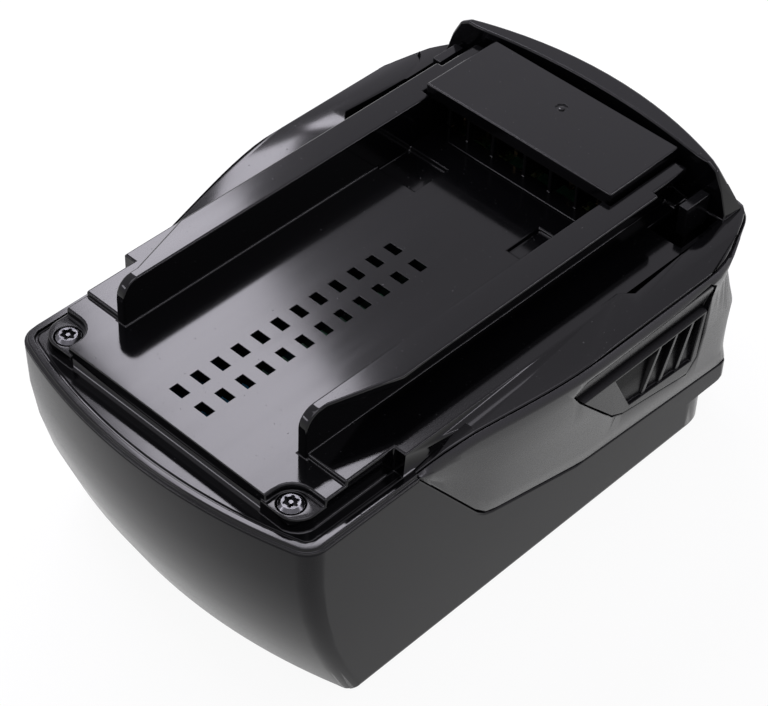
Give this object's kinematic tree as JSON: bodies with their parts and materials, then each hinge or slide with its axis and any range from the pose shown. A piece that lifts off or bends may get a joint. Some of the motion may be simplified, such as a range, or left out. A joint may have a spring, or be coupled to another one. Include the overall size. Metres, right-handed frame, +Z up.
{
  "type": "power tool battery pack",
  "caption": "Slide-on rechargeable battery pack with a rail cover, slotted terminal block, vents and sprung side release buttons over a block of cylindrical cells.",
  "frame": {"origin": "middle of the underside", "axes": "+Y towards the terminal end, +Z up out of the rails, +X to the right seen from the front rim"},
  "size_m": [0.087, 0.124, 0.063],
  "materials": {
    "case_plastic": "satin moulded, fine grain",
    "belt_plastic": "satin moulded, fine grain",
    "cover_plastic": "polished black",
    "block_plastic": "polished black",
    "screw_steel": "zinc plated",
    "button_plastic": "satin moulded",
    "latch_plastic": "satin moulded",
    "spring_steel": "drawn wire",
    "cell_sleeve": "shrink sleeve",
    "frame_plastic": "moulded",
    "strip_nickel": "rolled nickel",
    "sheet_fibre": "pressed fibre paper",
    "pad_foam": "closed-cell foam",
    "board_laminate": "solder resist",
    "chip_epoxy": "moulded epoxy",
    "shunt_metal": "plain",
    "thermistor_bead": "dipped",
    "contact_metal": "tinned brass"
  },
  "bodies": {
    "pack": {"lower_case": "case_plastic", "side_belt": "belt_plastic", "top_cover": "cover_plastic", "terminal_block": "block_plastic", "front_screws": "screw_steel", "latch_spring_right": "spring_steel", "latch_spring_left": "spring_steel", "cell_1": "cell_sleeve", "cell_2": "cell_sleeve", "cell_3": "cell_sleeve", "cell_4": "cell_sleeve", "cell_5": "cell_sleeve", "cell_6": "cell_sleeve", "cell_7": "cell_sleeve", "cell_8": "cell_sleeve", "cell_9": "cell_sleeve", "cell_10": "cell_sleeve", "cell_frame_right": "frame_plastic", "cell_frame_left": "frame_plastic", "bus_strip_1": "strip_nickel", "bus_strip_2": "strip_nickel", "bus_strip_3": "strip_nickel", "bus_strip_4": "strip_nickel", "bus_strip_5": "strip_nickel", "bus_strip_6": "strip_nickel", "insulating_sheet_right": "sheet_fibre", "insulating_sheet_left": "sheet_fibre", "foam_pad": "pad_foam", "circuit_board": "board_laminate", "power_transistors": "chip_epoxy", "control_chip": "chip_epoxy", "current_shunt": "shunt_metal", "thermistor": "thermistor_bead", "board_screws": "screw_steel", "negative_contact": "contact_metal", "signal_contacts": "contact_metal", "positive_contact": "contact_metal"},
    "right_release": {"release_button_right": "button_plastic", "latch_right": "latch_plastic"},
    "left_release": {"release_button_left": "button_plastic", "latch_left": "latch_plastic"}
  },
  "joints": [
    {"name": "right_release_slide", "type": "slide", "parent": "pack", "child": "right_release", "axis": [-1, 0, 0], "range_m": [0, 0.0025], "stiffness_N_per_m": 1200, "springref_m": -0.002, "deforming": ["latch_spring_right"]},
    {"name": "left_release_slide", "type": "slide", "parent": "pack", "child": "left_release", "axis": [1, 0, 0], "range_m": [0, 0.0025], "stiffness_N_per_m": 1200, "springref_m": -0.002, "deforming": ["latch_spring_left"]}
  ]
}
